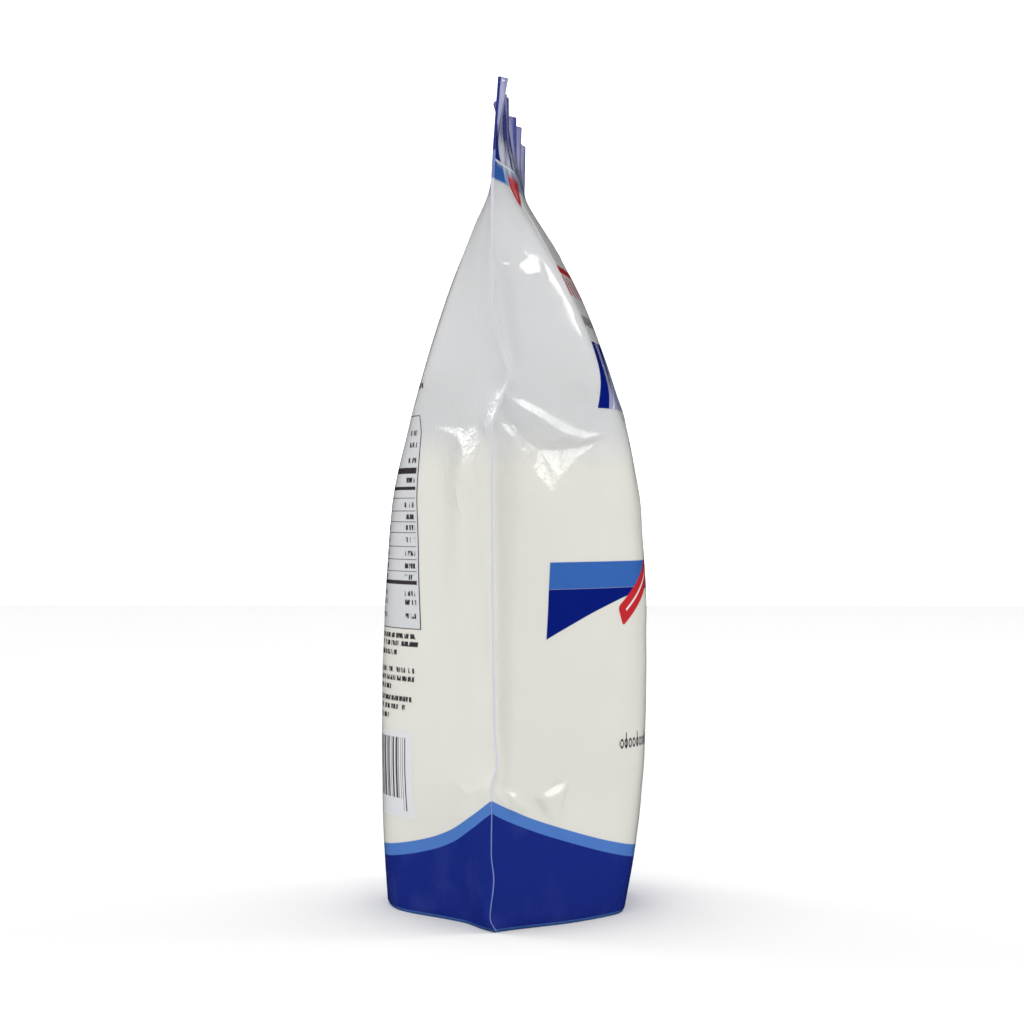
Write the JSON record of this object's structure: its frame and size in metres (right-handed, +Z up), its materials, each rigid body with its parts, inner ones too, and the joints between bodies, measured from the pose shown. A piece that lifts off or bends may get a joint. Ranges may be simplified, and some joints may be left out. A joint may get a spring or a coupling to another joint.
{
  "type": "filled flour bag",
  "caption": "Upright filled bag of fufu flour in milky plastic film, with a wavy shut fin on top, side welds, and an opened flat bottom gusset.",
  "frame": {"origin": "on the floor under the middle of the bag's bounding box", "axes": "+Z up through the fin, X across the bag from side weld to side weld, front face towards -Y"},
  "size_m": [0.1666, 0.0806, 0.239],
  "materials": {
    "milky_film": "thin milky film with a soft gloss, printed in blue and red",
    "flour": "fine packed off-white flour behind the film, matt"
  },
  "bodies": {
    "root": {"flour_bag": "milky_film"}
  },
  "joints": []
}
